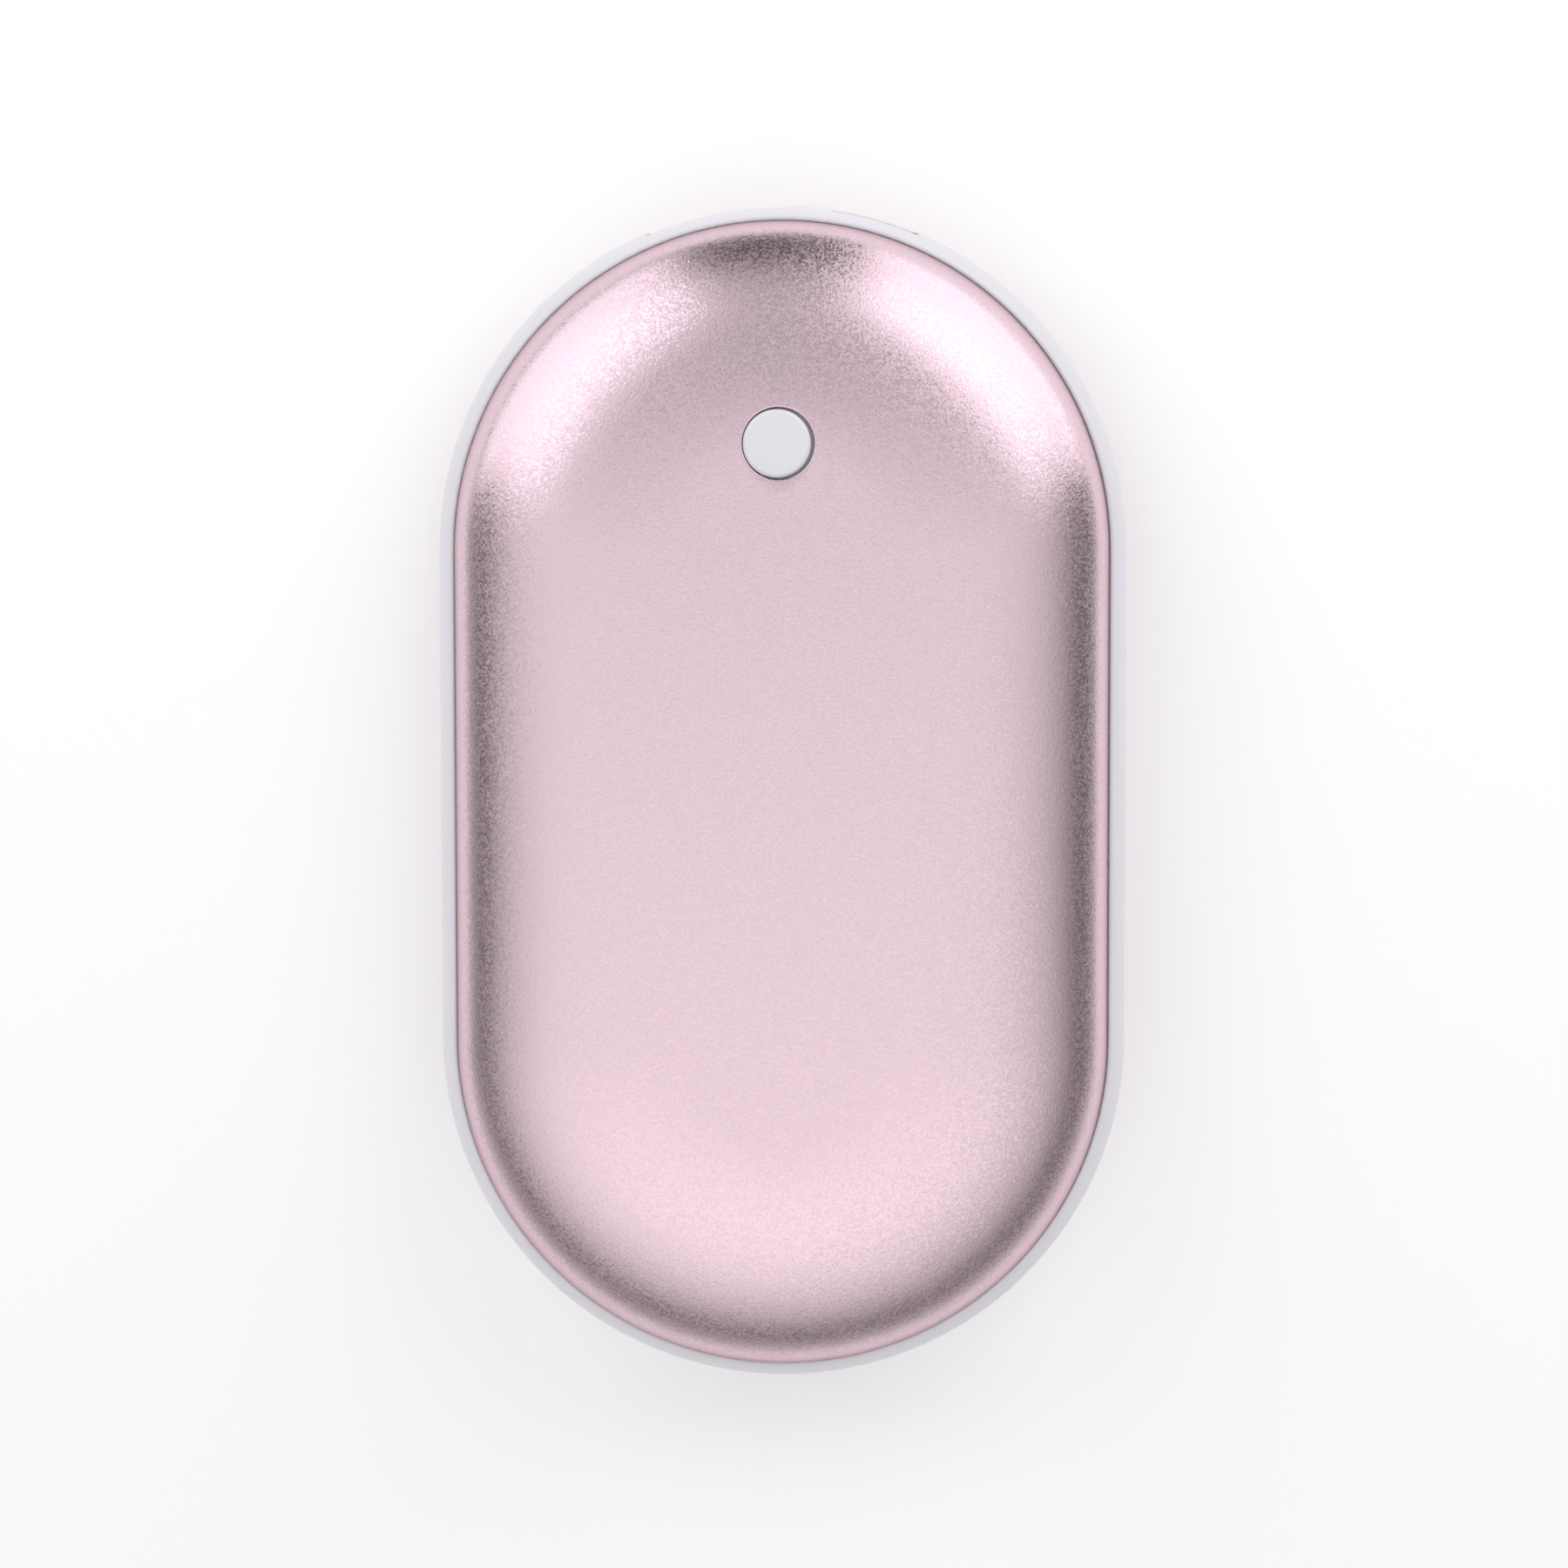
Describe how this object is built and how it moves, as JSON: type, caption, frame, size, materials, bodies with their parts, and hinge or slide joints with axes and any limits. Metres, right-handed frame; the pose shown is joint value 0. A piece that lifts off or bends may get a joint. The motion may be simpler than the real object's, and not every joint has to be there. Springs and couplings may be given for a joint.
{
  "type": "rechargeable hand warmer",
  "caption": "Pebble-shaped pocket hand warmer: two crowned aluminium shells on a plastic frame, a push button, sockets in its end, and cells, heaters and a board inside.",
  "frame": {"origin": "under the middle of the back's flat face, on the surface that the part lies on", "axes": "+Z out of the front face, +Y along the body towards the button and the sockets, +X across the body to the right seen from the front"},
  "size_m": [0.062, 0.106, 0.0243],
  "materials": {
    "shell_metal": "rose anodised, fine blasted",
    "frame_plastic": "white moulded ABS, satin",
    "clip_plastic": "pale moulded ABS",
    "button_plastic": "white moulded ABS, semi gloss",
    "tray_plastic": "ivory moulded ABS",
    "cell_steel": "nickel plated steel",
    "sleeve_film": "blue shrink film",
    "washer_card": "white fibre",
    "link_nickel": "nickel strip",
    "board_laminate": "green solder mask",
    "socket_steel": "bright tinned steel",
    "tongue_plastic": "white moulded plastic",
    "contact_metal": "gold flashed",
    "black_plastic": "black moulded plastic",
    "plunger_plastic": "black moulded plastic",
    "lamp_resin": "milky resin",
    "pipe_resin": "frosted clear acrylic",
    "ferrite": "sintered ferrite",
    "chip_resin": "black moulding resin",
    "pin_tin": "tinned",
    "capacitor_ceramic": "fired ceramic",
    "heater_film": "amber polyimide film",
    "pad_foam": "closed cell foam",
    "bead_resin": "black epoxy bead",
    "red_insulation": "red silicone rubber",
    "black_insulation": "black silicone rubber",
    "white_insulation": "white silicone rubber",
    "enamel_wire": "enamelled wire",
    "screw_steel": "zinc plated"
  },
  "bodies": {
    "housing": {"front_shell": "shell_metal", "back_shell": "shell_metal", "middle_frame": "frame_plastic", "front_clip_ring": "clip_plastic", "back_clip_ring": "clip_plastic", "button_collar": "clip_plastic", "inner_tray": "tray_plastic", "left_cell_can": "cell_steel", "right_cell_can": "cell_steel", "left_cell_sleeve": "sleeve_film", "right_cell_sleeve": "sleeve_film", "cell_nubs": "cell_steel", "cell_washers": "washer_card", "positive_link": "link_nickel", "negative_link": "link_nickel", "main_board": "board_laminate", "usb_shell": "socket_steel", "usb_tongue": "tongue_plastic", "usb_contacts": "contact_metal", "micro_shell": "socket_steel", "micro_tongue": "black_plastic", "micro_contacts": "contact_metal", "switch_base": "black_plastic", "switch_cover": "socket_steel", "indicator_lamps": "lamp_resin", "light_pipes": "pipe_resin", "power_inductor": "ferrite", "control_chip": "chip_resin", "chip_pins": "pin_tin", "power_transistors": "chip_resin", "ceramic_capacitors": "capacitor_ceramic", "front_heater": "heater_film", "back_heater": "heater_film", "front_foam_pad": "pad_foam", "back_foam_pads": "pad_foam", "thermistor": "bead_resin", "positive_lead": "red_insulation", "negative_lead": "black_insulation", "front_heater_leads": "white_insulation", "back_heater_leads": "white_insulation", "thermistor_leads": "enamel_wire", "tray_screws": "screw_steel", "board_screws": "screw_steel"},
    "button": {"power_button": "button_plastic"},
    "plunger": {"switch_plunger": "plunger_plastic"}
  },
  "joints": [
    {"name": "button_press", "type": "slide", "parent": "housing", "child": "button", "axis": [0, 0, -1], "range_m": [0, 0.0004], "stiffness_N_per_m": 3000, "springref_m": -0.0003},
    {"name": "plunger_press", "type": "slide", "parent": "housing", "child": "plunger", "axis": [0, 0, -1], "range_m": [0, 0.0004]}
  ],
  "couplings": [
    {"joint": "plunger_press", "follows": "button_press", "ratio": 1}
  ]
}
